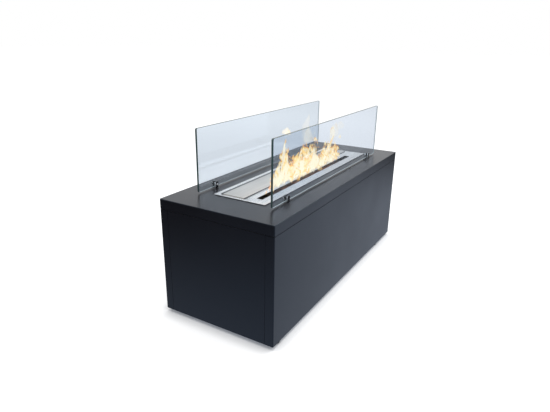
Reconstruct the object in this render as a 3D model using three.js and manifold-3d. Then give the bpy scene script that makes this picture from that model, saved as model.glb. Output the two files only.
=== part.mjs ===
// A bioethanol fireplace: a box of folded sheet steel with a slot burner let into its top,
// and a pane of glass in chrome clamps along each side of the flame.
// Units are millimetres. +X runs along the box, -Y is its front and +Z is up.
// The origin lies on the floor, under the middle of the box.

import * as THREE from 'three';
import { mergeVertices } from 'three/addons/utils/BufferGeometryUtils.js';
import Module from 'manifold-3d';

const wasm = await Module();
wasm.setup();

// ---- Driving dimensions ----

// Casing.
const BODY_LENGTH = 900;
const BODY_WIDTH = 355;
const BODY_HEIGHT = 329;
const SHEET = 2;
const INNER_BEND = 0.8;
const CAP_LIP = 28;
const CAP_SEAM = 1.2;
const PANEL_RETURN = 25;
const PANEL_SEAM = 0.8;
const PANEL_FLANGE = 15;
const TRAY_FLANGE = 15;
const POST_LAP = 16;
const POST_SIDE_LEG = 26;
const POST_TAB = 3;
const FLANGE_CLEARANCE = 2;
const RAIL_INNER_LEG = 15;
const RAIL_OUTER_LEG = 13;

// Clearances shared by all pieces.
const SEAT_GAP = 0.3;
const SCREW_CLEARANCE = 0.3;

// Feet.
const FOOT_POST_GAP = 2.2;
const FOOT_INSET_RIGHT = 133;
const PAD_EDGE_INSET = 4.5;
const FOOT_STANDOFF = 4;
const PAD_RADIUS = 13;
const PAD_TOP_RADIUS = 11.5;
const PAD_HEIGHT = 7;
const PAD_BEVEL = 1;
const PAD_FLOOR = 2;
const STUD_RADIUS = 4;
const STUD_LENGTH = 28;
const STUD_CHAMFER = 0.8;
const FOOT_NUT_RADIUS = 7.5;
const FOOT_NUT_HEIGHT = 6.5;

// Base screws, up into the tabs of the corner posts.
const BASE_SCREW_RADIUS = 2.4;
const BASE_SCREW_REACH = 6;
const BASE_HEAD_RADIUS = 4.5;
const BASE_HEAD_HEIGHT = 2.4;
const BASE_SOCKET_RADIUS = 1.6;

// Glass.
const GLASS_LENGTH = 728;
const GLASS_HEIGHT = 175;
const GLASS_THICKNESS = 6;
const GLASS_CORNER = 5;
const GLASS_SIDE_INSET = 61;

// Glass clamps.
const CLAMP_INSET = 72;
const CLAMP_LENGTH = 12;
const CLAMP_JAW = 4.3;
const CLAMP_BASE = 2.6;
const CLAMP_HEIGHT = 18;
const CLAMP_ROUND = 1.4;
const LINER = 0.8;
const LINER_GAP = 0.2;
const LINER_LENGTH = 11;
const LINER_DROP = 1.5;
const CLAMP_SCREW_RADIUS = 2.5;
const CLAMP_SCREW_HEIGHT = 10.5;
const CLAMP_SCREW_PROUD = 1.6;
const CLAMP_SOCKET_RADIUS = 1.4;
const CLAMP_SOCKET_DEPTH = 2.5;
const CLAMP_BOLT_RADIUS = 2.2;
const CLAMP_BOLT_HEAD_RADIUS = 4;
const CLAMP_BOLT_HEAD_HEIGHT = 2.6;
const CLAMP_BOLT_SOCKET_RADIUS = 1.4;

// Burner.
const BURNER_LENGTH = 692;
const BURNER_WIDTH = 164;
const BURNER_OFFSET = -3.5;
const DECK_SHEET = 1.5;
const DECK_CORNER = 1.5;
const SLOT_INSET_LEFT = 33;
const SLOT_INSET_RIGHT = 74;
const SLOT_INSET_FRONT = 28.5;
const SLOT_WIDTH = 18.5;
const SLOT_CORNER = 1;
const BRIDGE_WIDTH = 30;
const END_RIM = 15;
const REAR_RIM = 13;
const PAN_SHEET = 1.2;
const PAN_DEPTH = 12;
const TANK_SHEET = 1.5;
const TANK_DEPTH = 60;
const TANK_FRONT_ROOM = 17;
const CUTOUT_CLEARANCE = 3.5;
const WOOL_AIR = 5;
const WOOL_ROOM = 3;
const SCREEN_SHEET = 1;
const SCREEN_LAP = 8;
const SCREEN_HOLES = 30;
const SCREEN_WEB = 5;

// Slide cover over the slot.
const COVER_SHEET = 2;
const COVER_FRONT_LAP = 5.5;
const COVER_REAR_GAP = 3.5;
const COVER_END_LAP = 3;
const COVER_LIP_SHEET = 1.5;
const COVER_LIP_DEPTH = 9;
const COVER_TAB_CLEARANCE = 1;
const COVER_TRAVEL = 50;
const COVER_END_PLAY = 0.5;

// Facets on round pieces, and on each quarter of a rounded corner.
const ROUND_SIDES = 24;
const BOLT_SIDES = 16;
const HEXAGON = 6;
const CORNER_STEPS = 4;

// How far a cutting shape runs past the face that it cuts.
const CUT_PAST = 1;

// ---- Levels and lines worked out from them ----

const halfLength = BODY_LENGTH / 2;
const halfWidth = BODY_WIDTH / 2;
const bendRadius = SHEET + INNER_BEND;
const bodyBottom = PAD_HEIGHT + FOOT_STANDOFF;
const trayTop = bodyBottom + SHEET;
const topFace = bodyBottom + BODY_HEIGHT;
const capUnderside = topFace - SHEET;
const lipBottom = topFace - CAP_LIP;
const panelTop = lipBottom - CAP_SEAM;

// Frame pieces stand this far out, just inside the sheets.
const frameX = halfLength - SHEET - SEAT_GAP;
const frameY = halfWidth - SHEET - SEAT_GAP;
const endPanelY = halfWidth - PANEL_RETURN - PANEL_SEAM;
const postEndY = endPanelY - POST_LAP;
const postSideX = frameX - POST_SIDE_LEG;
const flangeX = postSideX - FLANGE_CLEARANCE;
const flangeY = postEndY - FLANGE_CLEARANCE;

// The left feet stand beside the posts, the right ones further in.
const leftFootX = FOOT_NUT_RADIUS + FOOT_POST_GAP - postSideX;
const rightFootX = halfLength - FOOT_INSET_RIGHT;
const footY = halfWidth - PAD_RADIUS - PAD_EDGE_INSET;
const baseScrewX = frameX - POST_SIDE_LEG / 2;
const baseScrewY = frameY - POST_SIDE_LEG / 2;

const clampX = GLASS_LENGTH / 2 - CLAMP_INSET;
const glassY = halfWidth - GLASS_SIDE_INSET;
const clampBottom = topFace + SEAT_GAP;
const linerThrough = LINER + 2 * LINER_GAP;
const glassBottom = clampBottom + CLAMP_BASE + linerThrough;
const clampSlot = GLASS_THICKNESS + 2 * linerThrough;
const clampDepth = clampSlot + 2 * CLAMP_JAW;

const deckFront = BURNER_OFFSET - BURNER_WIDTH / 2;
const deckRear = BURNER_OFFSET + BURNER_WIDTH / 2;
const deckEnd = BURNER_LENGTH / 2;
const deckBottom = topFace + SEAT_GAP;
const deckTop = deckBottom + DECK_SHEET;
const slotLeft = SLOT_INSET_LEFT - deckEnd;
const slotRight = deckEnd - SLOT_INSET_RIGHT;
const slotFront = deckFront + SLOT_INSET_FRONT;
const slotRear = slotFront + SLOT_WIDTH;
const openingEnd = deckEnd - END_RIM;
const openingFront = slotRear + BRIDGE_WIDTH;
const openingRear = deckRear - REAR_RIM;

const tankInnerEnd = openingEnd + PAN_SHEET + SEAT_GAP;
const tankInnerRear = openingRear + PAN_SHEET + SEAT_GAP;
const tankInnerFront = slotFront - TANK_FRONT_ROOM;
const tankTop = deckBottom - SEAT_GAP;
const tankBottom = tankTop - TANK_DEPTH;
const panFloor = tankTop - PAN_DEPTH;
const woolTop = panFloor - PAN_SHEET - WOOL_AIR;

const coverEnd = openingEnd + COVER_END_LAP;
const coverFront = openingFront - COVER_FRONT_LAP;
const coverRear = openingRear - COVER_REAR_GAP;
const coverBottom = deckTop + SEAT_GAP;

const LEFT = -1;
const RIGHT = 1;
const FRONT = -1;
const REAR = 1;

const CORNERS = [
  { name: 'front_left', end: LEFT, side: FRONT },
  { name: 'front_right', end: RIGHT, side: FRONT },
  { name: 'rear_left', end: LEFT, side: REAR },
  { name: 'rear_right', end: RIGHT, side: REAR },
];

// ---- Finishes ----

function finish(color, roughness, metalness) {
  return new THREE.MeshStandardMaterial({ color, roughness, metalness });
}

const powderCoat = finish(0x26292e, 0.45, 0.2);
const plainSteel = finish(0x8d9196, 0.5, 0.9);
const stainless = finish(0xc9cac8, 0.32, 1);
const chrome = finish(0xe4e7ea, 0.08, 1);
const zincSteel = finish(0xb4b8bc, 0.35, 1);
const blackRubber = finish(0x15161a, 0.8, 0);
const wool = finish(0xe8e2d4, 0.95, 0);
const glass = finish(0xd5e2e2, 0.05, 0);
glass.transparent = true;
glass.opacity = 0.3;

// ---- Shapes ----

// A box between its lowest and its highest corner.
function block(low, high) {
  const size = high.map((value, axis) => value - low[axis]);
  const geometry = new THREE.BoxGeometry(...size);
  geometry.translate(low[0] + size[0] / 2, low[1] + size[1] / 2, low[2] + size[2] / 2);
  return geometry;
}

// A box given by its distances from the middle planes, on one end and one side of them.
function mirroredBlock({ end, side }, [nearX, farX], [nearY, farY], [bottom, top]) {
  const [left, right] = [end * nearX, end * farX].sort((a, b) => a - b);
  const [front, rear] = [side * nearY, side * farY].sort((a, b) => a - b);
  return block([left, front, bottom], [right, rear, top]);
}

// A rectangle with round corners, as an outline.
function roundedRectangle(left, front, right, rear, radius, OutlineClass = THREE.Shape) {
  const outline = new OutlineClass();
  outline.moveTo(left + radius, front);
  outline.lineTo(right - radius, front);
  outline.absarc(right - radius, front + radius, radius, -Math.PI / 2, 0);
  outline.lineTo(right, rear - radius);
  outline.absarc(right - radius, rear - radius, radius, 0, Math.PI / 2);
  outline.lineTo(left + radius, rear);
  outline.absarc(left + radius, rear - radius, radius, Math.PI / 2, Math.PI);
  outline.lineTo(left, front + radius);
  outline.absarc(left + radius, front + radius, radius, Math.PI, Math.PI * 1.5);
  return outline;
}

// A flat plate cut to an outline, from one level up to another.
function plate(outline, bottom, top) {
  const geometry = new THREE.ExtrudeGeometry(outline, {
    depth: top - bottom,
    bevelEnabled: false,
    curveSegments: CORNER_STEPS,
  });
  geometry.translate(0, 0, bottom);
  return geometry;
}

// A body turned about the Z axis, from [radius, height] points that start and end on it.
function turned(points, sides = ROUND_SIDES) {
  const profile = points.map(([radius, height]) => new THREE.Vector2(radius, height));
  const geometry = new THREE.LatheGeometry(profile, sides);
  geometry.rotateX(Math.PI / 2);
  return geometry;
}

// A plain round bar standing at x, y.
function bar(radius, bottom, top, x, y, sides = BOLT_SIDES) {
  const geometry = turned([[0, bottom], [radius, bottom], [radius, top], [0, top]], sides);
  geometry.translate(x, y, 0);
  return geometry;
}

function toSolid(geometry) {
  const bare = geometry.clone();
  bare.deleteAttribute('normal');
  bare.deleteAttribute('uv');
  const merged = mergeVertices(bare);
  const vertProperties = new Float32Array(merged.attributes.position.array);
  const triVerts = new Uint32Array(merged.index.array);
  return new wasm.Manifold(new wasm.Mesh({ numProp: 3, vertProperties, triVerts }));
}

function toGeometry(solid) {
  const { vertProperties, triVerts } = solid.getMesh();
  const geometry = new THREE.BufferGeometry();
  geometry.setAttribute('position', new THREE.BufferAttribute(vertProperties, 3));
  geometry.setIndex(new THREE.BufferAttribute(triVerts, 1));
  return geometry;
}

function join(first, ...others) {
  const solids = others.map(toSolid);
  return toGeometry(solids.reduce((sum, solid) => sum.add(solid), toSolid(first)));
}

function cut(first, ...others) {
  const solids = others.map(toSolid);
  return toGeometry(solids.reduce((rest, solid) => rest.subtract(solid), toSolid(first)));
}

// ---- The scene graph ----

const fireplace = new THREE.Group();

function place(parent, name, geometry, material, x = 0, y = 0, z = 0) {
  const mesh = new THREE.Mesh(geometry, material);
  mesh.name = name;
  mesh.position.set(x, y, z);
  parent.add(mesh);
  return mesh;
}

// ---- Casing ----

// The places of the four clamps, which the cover and the rails are drilled for.
function clampHoles(top, bottom) {
  const radius = CLAMP_BOLT_RADIUS + SCREW_CLEARANCE;
  return CORNERS.map(({ end, side }) => bar(radius, bottom, top, end * clampX, side * glassY));
}

function topCover() {
  const outline = roundedRectangle(-halfLength, -halfWidth, halfLength, halfWidth, bendRadius);
  const skin = plate(outline, lipBottom, topFace);
  const hollow = block(
    [SHEET - halfLength, SHEET - halfWidth, lipBottom - CUT_PAST],
    [halfLength - SHEET, halfWidth - SHEET, capUnderside],
  );
  const beyondTank = TANK_SHEET + CUTOUT_CLEARANCE;
  const cutout = block(
    [-tankInnerEnd - beyondTank, tankInnerFront - beyondTank, capUnderside - CUT_PAST],
    [tankInnerEnd + beyondTank, tankInnerRear + beyondTank, topFace + CUT_PAST],
  );
  return cut(skin, hollow, cutout, ...clampHoles(topFace + CUT_PAST, capUnderside - CUT_PAST));
}

// A long panel seen from above: a sheet whose ends fold round the corners.
function longPanel() {
  const bendX = halfLength - bendRadius;
  const outline = new THREE.Shape();
  outline.moveTo(-halfLength, PANEL_RETURN);
  outline.lineTo(-halfLength, bendRadius);
  outline.absarc(-bendX, bendRadius, bendRadius, Math.PI, Math.PI * 1.5);
  outline.lineTo(bendX, 0);
  outline.absarc(bendX, bendRadius, bendRadius, -Math.PI / 2, 0);
  outline.lineTo(halfLength, PANEL_RETURN);
  outline.lineTo(halfLength - SHEET, PANEL_RETURN);
  outline.lineTo(halfLength - SHEET, bendRadius);
  outline.absarc(bendX, bendRadius, INNER_BEND, 0, -Math.PI / 2, true);
  outline.lineTo(-bendX, SHEET);
  outline.absarc(-bendX, bendRadius, INNER_BEND, -Math.PI / 2, -Math.PI, true);
  outline.lineTo(SHEET - halfLength, PANEL_RETURN);
  const sheet = plate(outline, bodyBottom, panelTop);
  const flange = block([-flangeX, SHEET / 2, panelTop - SHEET], [flangeX, PANEL_FLANGE, panelTop]);
  return join(sheet, flange);
}

function endPanel() {
  const sheet = block([0, -endPanelY, bodyBottom], [SHEET, endPanelY, panelTop]);
  const flange = block([SHEET / 2, -flangeY, panelTop - SHEET], [PANEL_FLANGE, flangeY, panelTop]);
  return join(sheet, flange);
}

// A group that is turned half round for what faces the rear or the right.
function facing(parent, side) {
  const group = new THREE.Group();
  group.rotation.z = side === REAR ? Math.PI : 0;
  parent.add(group);
  return group;
}

function footPlaces() {
  return CORNERS.map(({ name, end, side }) => {
    const x = end === LEFT ? leftFootX : rightFootX;
    return { name, x, y: side * footY };
  });
}

function baseScrewHoles(bottom, top) {
  const radius = BASE_SCREW_RADIUS + SCREW_CLEARANCE;
  return CORNERS.map(({ end, side }) => bar(radius, bottom, top, end * baseScrewX, side * baseScrewY));
}

function baseTray() {
  const floor = block([-frameX, -frameY, bodyBottom], [frameX, frameY, trayTop]);
  const height = [bodyBottom, trayTop + TRAY_FLANGE];
  const sides = [FRONT, REAR].map((side) =>
    mirroredBlock({ end: RIGHT, side }, [-flangeX, flangeX], [frameY - SHEET, frameY], height));
  const ends = [LEFT, RIGHT].map((end) =>
    mirroredBlock({ end, side: REAR }, [frameX - SHEET, frameX], [-flangeY, flangeY], height));
  const holeBottom = bodyBottom - CUT_PAST;
  const holeTop = trayTop + CUT_PAST;
  const studHoles = footPlaces().map(({ x, y }) =>
    bar(STUD_RADIUS + SCREW_CLEARANCE, holeBottom, holeTop, x, y, ROUND_SIDES));
  return cut(join(floor, ...sides, ...ends), ...studHoles, ...baseScrewHoles(holeBottom, holeTop));
}

// An angle post in one corner, with a tab at its foot for the base screw.
function cornerPost(corner) {
  const bottom = trayTop + SEAT_GAP;
  const height = [bottom, capUnderside - SEAT_GAP];
  const tabHeight = [bottom, bottom + POST_TAB];
  const tabY = frameY - POST_SIDE_LEG;
  const endLeg = mirroredBlock(corner, [frameX - SHEET, frameX], [postEndY, frameY], height);
  const sideLeg = mirroredBlock(corner, [postSideX, frameX], [frameY - SHEET, frameY], height);
  const tab = mirroredBlock(corner, [postSideX, frameX], [tabY, frameY], tabHeight);
  const holes = baseScrewHoles(bottom - CUT_PAST, bottom + POST_TAB + CUT_PAST);
  return cut(join(endLeg, sideLeg, tab), ...holes);
}

// An angle rail under the cover: its flat leg takes the clamp bolts, its upright leg
// stands on the flanges of the end panels.
function rail(side) {
  const place = { end: RIGHT, side };
  const top = capUnderside - SEAT_GAP;
  const inner = glassY - RAIL_INNER_LEG;
  const outer = glassY + RAIL_OUTER_LEG;
  const span = [-frameX, frameX];
  const flatLeg = mirroredBlock(place, span, [inner, outer], [top - SHEET, top]);
  const uprightLeg = mirroredBlock(place, span, [inner, inner + SHEET], [panelTop + SEAT_GAP, top]);
  return cut(join(flatLeg, uprightLeg), ...clampHoles(top + CUT_PAST, top - SHEET - CUT_PAST));
}

function buildCasing(parent) {
  place(parent, 'top_cover', topCover(), powderCoat);
  const panel = longPanel();
  place(facing(parent, FRONT), 'front_panel', panel, powderCoat, 0, -halfWidth);
  place(facing(parent, REAR), 'rear_panel', panel, powderCoat, 0, -halfWidth);
  const end = endPanel();
  place(facing(parent, LEFT), 'left_end_panel', end, powderCoat, -halfLength);
  place(facing(parent, RIGHT), 'right_end_panel', end, powderCoat, -halfLength);
  place(parent, 'base_tray', baseTray(), plainSteel);
  for (const corner of CORNERS) {
    place(parent, `corner_post_${corner.name}`, cornerPost(corner), plainSteel);
  }
  place(parent, 'front_rail', rail(FRONT), plainSteel);
  place(parent, 'rear_rail', rail(REAR), plainSteel);
}

// ---- Feet and base screws ----

function footPad() {
  const bore = STUD_RADIUS + SCREW_CLEARANCE / 2;
  return turned([
    [0, 0],
    [PAD_RADIUS - PAD_BEVEL, 0],
    [PAD_RADIUS, PAD_BEVEL],
    [PAD_RADIUS, PAD_HEIGHT / 2],
    [PAD_TOP_RADIUS, PAD_HEIGHT],
    [bore, PAD_HEIGHT],
    [bore, PAD_FLOOR],
    [0, PAD_FLOOR],
  ]);
}

function footStud() {
  const bottom = PAD_FLOOR + SEAT_GAP;
  const top = bottom + STUD_LENGTH;
  return turned([
    [0, bottom],
    [STUD_RADIUS, bottom],
    [STUD_RADIUS, top - STUD_CHAMFER],
    [STUD_RADIUS - STUD_CHAMFER, top],
    [0, top],
  ]);
}

function footNut() {
  const bottom = trayTop + SEAT_GAP;
  const top = bottom + FOOT_NUT_HEIGHT;
  const hexagon = bar(FOOT_NUT_RADIUS, bottom, top, 0, 0, HEXAGON);
  const boreRadius = STUD_RADIUS + SCREW_CLEARANCE;
  const bore = bar(boreRadius, bottom - CUT_PAST, top + CUT_PAST, 0, 0, ROUND_SIDES);
  return cut(hexagon, bore);
}

// A button-head screw standing up from its head, with a six-sided socket below.
function buttonScrew({ shankRadius, headRadius, headHeight, socketRadius, length }) {
  const chamfer = headHeight / 2;
  const body = turned([
    [0, -headHeight],
    [headRadius - chamfer, -headHeight],
    [headRadius, -chamfer],
    [headRadius, 0],
    [shankRadius, 0],
    [shankRadius, length],
    [0, length],
  ], BOLT_SIDES);
  const socket = bar(socketRadius, -headHeight - CUT_PAST, -chamfer, 0, 0, HEXAGON);
  return cut(body, socket);
}

function buildFeet(parent) {
  const pad = footPad();
  const stud = footStud();
  const nut = footNut();
  for (const { name, x, y } of footPlaces()) {
    place(parent, `foot_pad_${name}`, pad, blackRubber, x, y);
    place(parent, `foot_stud_${name}`, stud, zincSteel, x, y);
    place(parent, `foot_nut_${name}`, nut, zincSteel, x, y);
  }
  const screw = buttonScrew({
    shankRadius: BASE_SCREW_RADIUS,
    headRadius: BASE_HEAD_RADIUS,
    headHeight: BASE_HEAD_HEIGHT,
    socketRadius: BASE_SOCKET_RADIUS,
    length: SEAT_GAP + SHEET + SEAT_GAP + BASE_SCREW_REACH,
  });
  const headLevel = bodyBottom - SEAT_GAP;
  for (const { name, end, side } of CORNERS) {
    place(
      parent, `base_screw_${name}`, screw, zincSteel,
      end * baseScrewX, side * baseScrewY, headLevel,
    );
  }
}

// ---- Glass and its clamps ----

function glassPane() {
  const half = GLASS_LENGTH / 2;
  const outline = roundedRectangle(-half, 0, half, GLASS_HEIGHT, GLASS_CORNER);
  const geometry = plate(outline, -GLASS_THICKNESS / 2, GLASS_THICKNESS / 2);
  geometry.rotateX(Math.PI / 2);
  return geometry;
}

// A U of chrome with a slot for the pane, drawn in the YZ plane and drawn out along X.
// Its threaded hole goes through the jaw at +Y.
function clampBody() {
  const half = clampDepth / 2;
  const slot = clampSlot / 2;
  const outline = new THREE.Shape();
  outline.moveTo(-half, 0);
  outline.lineTo(half, 0);
  outline.lineTo(half, CLAMP_HEIGHT - CLAMP_ROUND);
  outline.absarc(half - CLAMP_ROUND, CLAMP_HEIGHT - CLAMP_ROUND, CLAMP_ROUND, 0, Math.PI / 2);
  outline.lineTo(slot, CLAMP_HEIGHT);
  outline.lineTo(slot, CLAMP_BASE);
  outline.lineTo(-slot, CLAMP_BASE);
  outline.lineTo(-slot, CLAMP_HEIGHT);
  outline.lineTo(CLAMP_ROUND - half, CLAMP_HEIGHT);
  outline.absarc(
    CLAMP_ROUND - half, CLAMP_HEIGHT - CLAMP_ROUND, CLAMP_ROUND, Math.PI / 2, Math.PI,
  );
  const body = plate(outline, -CLAMP_LENGTH / 2, CLAMP_LENGTH / 2);
  standUp(body);
  const holeRadius = CLAMP_SCREW_RADIUS + SCREW_CLEARANCE / 2;
  const screwHole = bar(holeRadius, -half - CUT_PAST, 0, 0, 0, ROUND_SIDES);
  screwHole.rotateX(Math.PI / 2);
  screwHole.translate(0, 0, CLAMP_SCREW_HEIGHT);
  const boltRadius = CLAMP_BOLT_RADIUS + SCREW_CLEARANCE;
  const boltHole = bar(boltRadius, -CUT_PAST, CLAMP_BASE + CUT_PAST, 0, 0);
  return cut(body, screwHole, boltHole);
}

// Stands a plate drawn in XY up, so that its outline lies in YZ and its thickness along X.
function standUp(geometry) {
  geometry.rotateX(Math.PI / 2);
  geometry.rotateZ(Math.PI / 2);
}

// A strip of rubber folded round the foot of the pane.
function clampLiner() {
  const outer = GLASS_THICKNESS / 2 + LINER_GAP + LINER;
  const inner = GLASS_THICKNESS / 2 + LINER_GAP;
  const bottom = CLAMP_BASE + LINER_GAP;
  const top = CLAMP_HEIGHT - LINER_DROP;
  const outline = new THREE.Shape();
  outline.moveTo(-outer, bottom);
  outline.lineTo(outer, bottom);
  outline.lineTo(outer, top);
  outline.lineTo(inner, top);
  outline.lineTo(inner, bottom + LINER);
  outline.lineTo(-inner, bottom + LINER);
  outline.lineTo(-inner, top);
  outline.lineTo(-outer, top);
  const geometry = plate(outline, -LINER_LENGTH / 2, LINER_LENGTH / 2);
  standUp(geometry);
  return geometry;
}

// A socket screw through the +Y jaw, its tip just short of the liner.
function clampScrew() {
  const tip = clampSlot / 2 + LINER_GAP / 2;
  const end = clampDepth / 2 + CLAMP_SCREW_PROUD;
  const body = bar(CLAMP_SCREW_RADIUS, -end, -tip, 0, 0, ROUND_SIDES);
  const socketTop = CLAMP_SOCKET_DEPTH - end;
  const socket = bar(CLAMP_SOCKET_RADIUS, -end - CUT_PAST, socketTop, 0, 0, HEXAGON);
  const geometry = cut(body, socket);
  geometry.rotateX(Math.PI / 2);
  geometry.translate(0, 0, CLAMP_SCREW_HEIGHT);
  return geometry;
}

function buildGlass(parent) {
  const pane = glassPane();
  place(parent, 'front_glass', pane, glass, 0, -glassY, glassBottom);
  place(parent, 'rear_glass', pane, glass, 0, glassY, glassBottom);
  const body = clampBody();
  const liner = clampLiner();
  const screw = clampScrew();
  const headLevel = capUnderside - SEAT_GAP - SHEET - SEAT_GAP;
  const bolt = buttonScrew({
    shankRadius: CLAMP_BOLT_RADIUS,
    headRadius: CLAMP_BOLT_HEAD_RADIUS,
    headHeight: CLAMP_BOLT_HEAD_HEIGHT,
    socketRadius: CLAMP_BOLT_SOCKET_RADIUS,
    length: clampBottom + CLAMP_BASE - headLevel,
  });
  for (const { name, end, side } of CORNERS) {
    const clamp = new THREE.Group();
    clamp.position.set(end * clampX, side * glassY, 0);
    clamp.rotation.z = side === REAR ? Math.PI : 0;
    parent.add(clamp);
    place(clamp, `clamp_body_${name}`, body, chrome, 0, 0, clampBottom);
    place(clamp, `clamp_liner_${name}`, liner, blackRubber, 0, 0, clampBottom);
    place(clamp, `clamp_screw_${name}`, screw, chrome, 0, 0, clampBottom);
    place(clamp, `clamp_bolt_${name}`, bolt, zincSteel, 0, 0, headLevel);
  }
}

// ---- Burner ----

function burnerDeck() {
  const outline = roundedRectangle(-deckEnd, deckFront, deckEnd, deckRear, DECK_CORNER);
  outline.holes.push(
    roundedRectangle(slotLeft, slotFront, slotRight, slotRear, SLOT_CORNER, THREE.Path),
    roundedRectangle(
      -openingEnd, openingFront, openingEnd, openingRear, SLOT_CORNER, THREE.Path,
    ),
  );
  return plate(outline, deckBottom, deckTop);
}

// A tray of sheet, open on top, given the inside of its walls.
function tray(innerLow, innerHigh, sheet) {
  const outer = block(
    [innerLow[0] - sheet, innerLow[1] - sheet, innerLow[2] - sheet],
    [innerHigh[0] + sheet, innerHigh[1] + sheet, innerHigh[2]],
  );
  const hollow = block(innerLow, [innerHigh[0], innerHigh[1], innerHigh[2] + CUT_PAST]);
  return cut(outer, hollow);
}

function recessPan() {
  return tray(
    [-openingEnd, openingFront, panFloor],
    [openingEnd, openingRear, tankTop],
    PAN_SHEET,
  );
}

function burnerTank() {
  return tray(
    [-tankInnerEnd, tankInnerFront, tankBottom + TANK_SHEET],
    [tankInnerEnd, tankInnerRear, tankTop],
    TANK_SHEET,
  );
}

function ceramicWool() {
  return block(
    [WOOL_ROOM - tankInnerEnd, tankInnerFront + WOOL_ROOM, tankBottom + TANK_SHEET + SEAT_GAP],
    [tankInnerEnd - WOOL_ROOM, tankInnerRear - WOOL_ROOM, woolTop],
  );
}

// A strip of perforated sheet on the wool, under the slot.
function woolScreen() {
  const left = slotLeft - SCREEN_LAP;
  const right = slotRight + SCREEN_LAP;
  const front = slotFront - SCREEN_LAP;
  const rear = slotRear + SCREEN_LAP;
  const bottom = woolTop + SEAT_GAP;
  const top = bottom + SCREEN_SHEET;
  const strip = block([left, front, bottom], [right, rear, top]);
  const pitch = (right - left - SCREEN_WEB) / SCREEN_HOLES;
  const holes = Array.from({ length: SCREEN_HOLES }, (_, count) => {
    const start = left + SCREEN_WEB + count * pitch;
    return block(
      [start, front + SCREEN_WEB, bottom - CUT_PAST],
      [start + pitch - SCREEN_WEB, rear - SCREEN_WEB, top + CUT_PAST],
    );
  });
  return cut(strip, ...holes);
}

// The plate that slides over the slot, with a lip behind and a guide tab at each end
// that run in the recess pan.
function slideCover() {
  const outline = roundedRectangle(-coverEnd, coverFront, coverEnd, coverRear, SLOT_CORNER);
  const sheet = plate(outline, coverBottom, coverBottom + COVER_SHEET);
  const lipBase = coverBottom - COVER_LIP_DEPTH;
  const lipTop = coverBottom + COVER_SHEET / 2;
  const tabEnd = openingEnd - COVER_TAB_CLEARANCE;
  const lipFront = coverRear - COVER_LIP_SHEET;
  const lip = block([-tabEnd, lipFront, lipBase], [tabEnd, coverRear, lipTop]);
  const tabFront = openingFront + COVER_TRAVEL + COVER_END_PLAY;
  const leftTab = block(
    [-tabEnd, tabFront, lipBase],
    [COVER_LIP_SHEET - tabEnd, coverRear, lipTop],
  );
  const rightTab = block(
    [tabEnd - COVER_LIP_SHEET, tabFront, lipBase],
    [tabEnd, coverRear, lipTop],
  );
  return join(sheet, lip, leftTab, rightTab);
}

function buildBurner(parent) {
  place(parent, 'burner_deck', burnerDeck(), stainless);
  place(parent, 'recess_pan', recessPan(), stainless);
  place(parent, 'burner_tank', burnerTank(), stainless);
  place(parent, 'ceramic_wool', ceramicWool(), wool);
  place(parent, 'wool_screen', woolScreen(), zincSteel);
  place(parent, 'slide_cover', slideCover(), stainless);
}

buildCasing(fireplace);
buildFeet(fireplace);
buildGlass(fireplace);
buildBurner(fireplace);

export default fireplace;
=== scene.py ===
# %% [markdown]
# A bioethanol fireplace: a satin black box of folded sheet, a stainless burner let into its
# top, a pane of glass in chrome clamps along each side, and the fire itself.
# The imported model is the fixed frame. It says where every piece is and which body carries
# it, so everything below is placed from its boxes, in metres.

# %% Load the frame
import math
import random

import bmesh
import bpy
from mathutils import Matrix, Vector, noise


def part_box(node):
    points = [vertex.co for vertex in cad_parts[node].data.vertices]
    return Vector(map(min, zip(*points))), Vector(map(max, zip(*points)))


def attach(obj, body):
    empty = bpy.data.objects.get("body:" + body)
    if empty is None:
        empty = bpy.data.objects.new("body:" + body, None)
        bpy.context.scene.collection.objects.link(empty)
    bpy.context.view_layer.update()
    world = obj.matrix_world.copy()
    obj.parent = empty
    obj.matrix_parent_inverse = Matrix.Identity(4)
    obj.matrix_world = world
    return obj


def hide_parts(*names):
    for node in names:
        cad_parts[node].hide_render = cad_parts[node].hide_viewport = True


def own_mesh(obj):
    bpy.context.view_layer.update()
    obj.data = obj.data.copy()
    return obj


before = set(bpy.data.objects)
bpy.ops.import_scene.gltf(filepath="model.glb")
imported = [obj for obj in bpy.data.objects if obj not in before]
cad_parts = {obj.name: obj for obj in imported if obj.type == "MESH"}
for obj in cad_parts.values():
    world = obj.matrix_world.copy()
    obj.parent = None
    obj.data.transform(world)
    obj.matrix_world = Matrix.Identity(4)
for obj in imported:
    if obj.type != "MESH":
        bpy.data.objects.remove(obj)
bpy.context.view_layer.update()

MM = 0.001
CORNERS = ["front_left", "front_right", "rear_left", "rear_right"]


# %% [markdown]
# The camera stands where the photographer stood: near the left end, a little above the
# glass, with a short lens that makes the far end run away quickly. Azimuth and elevation
# turn the view, and the small roll is the tilt of the hand.
# The lens follows from the frame's width: a focal length in pixels, over that width, times
# the sensor's width.

# %% Camera
PHOTO_WIDTH = 550
FOCAL_PIXELS = 469
SENSOR = 36
VIEW_AZIMUTH = math.radians(-59.30)
VIEW_ELEVATION = math.radians(19.62)
VIEW_ROLL = math.radians(0.854)
CAMERA_PLACE = Vector((-1.2995, -0.6818, 0.7407))


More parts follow.
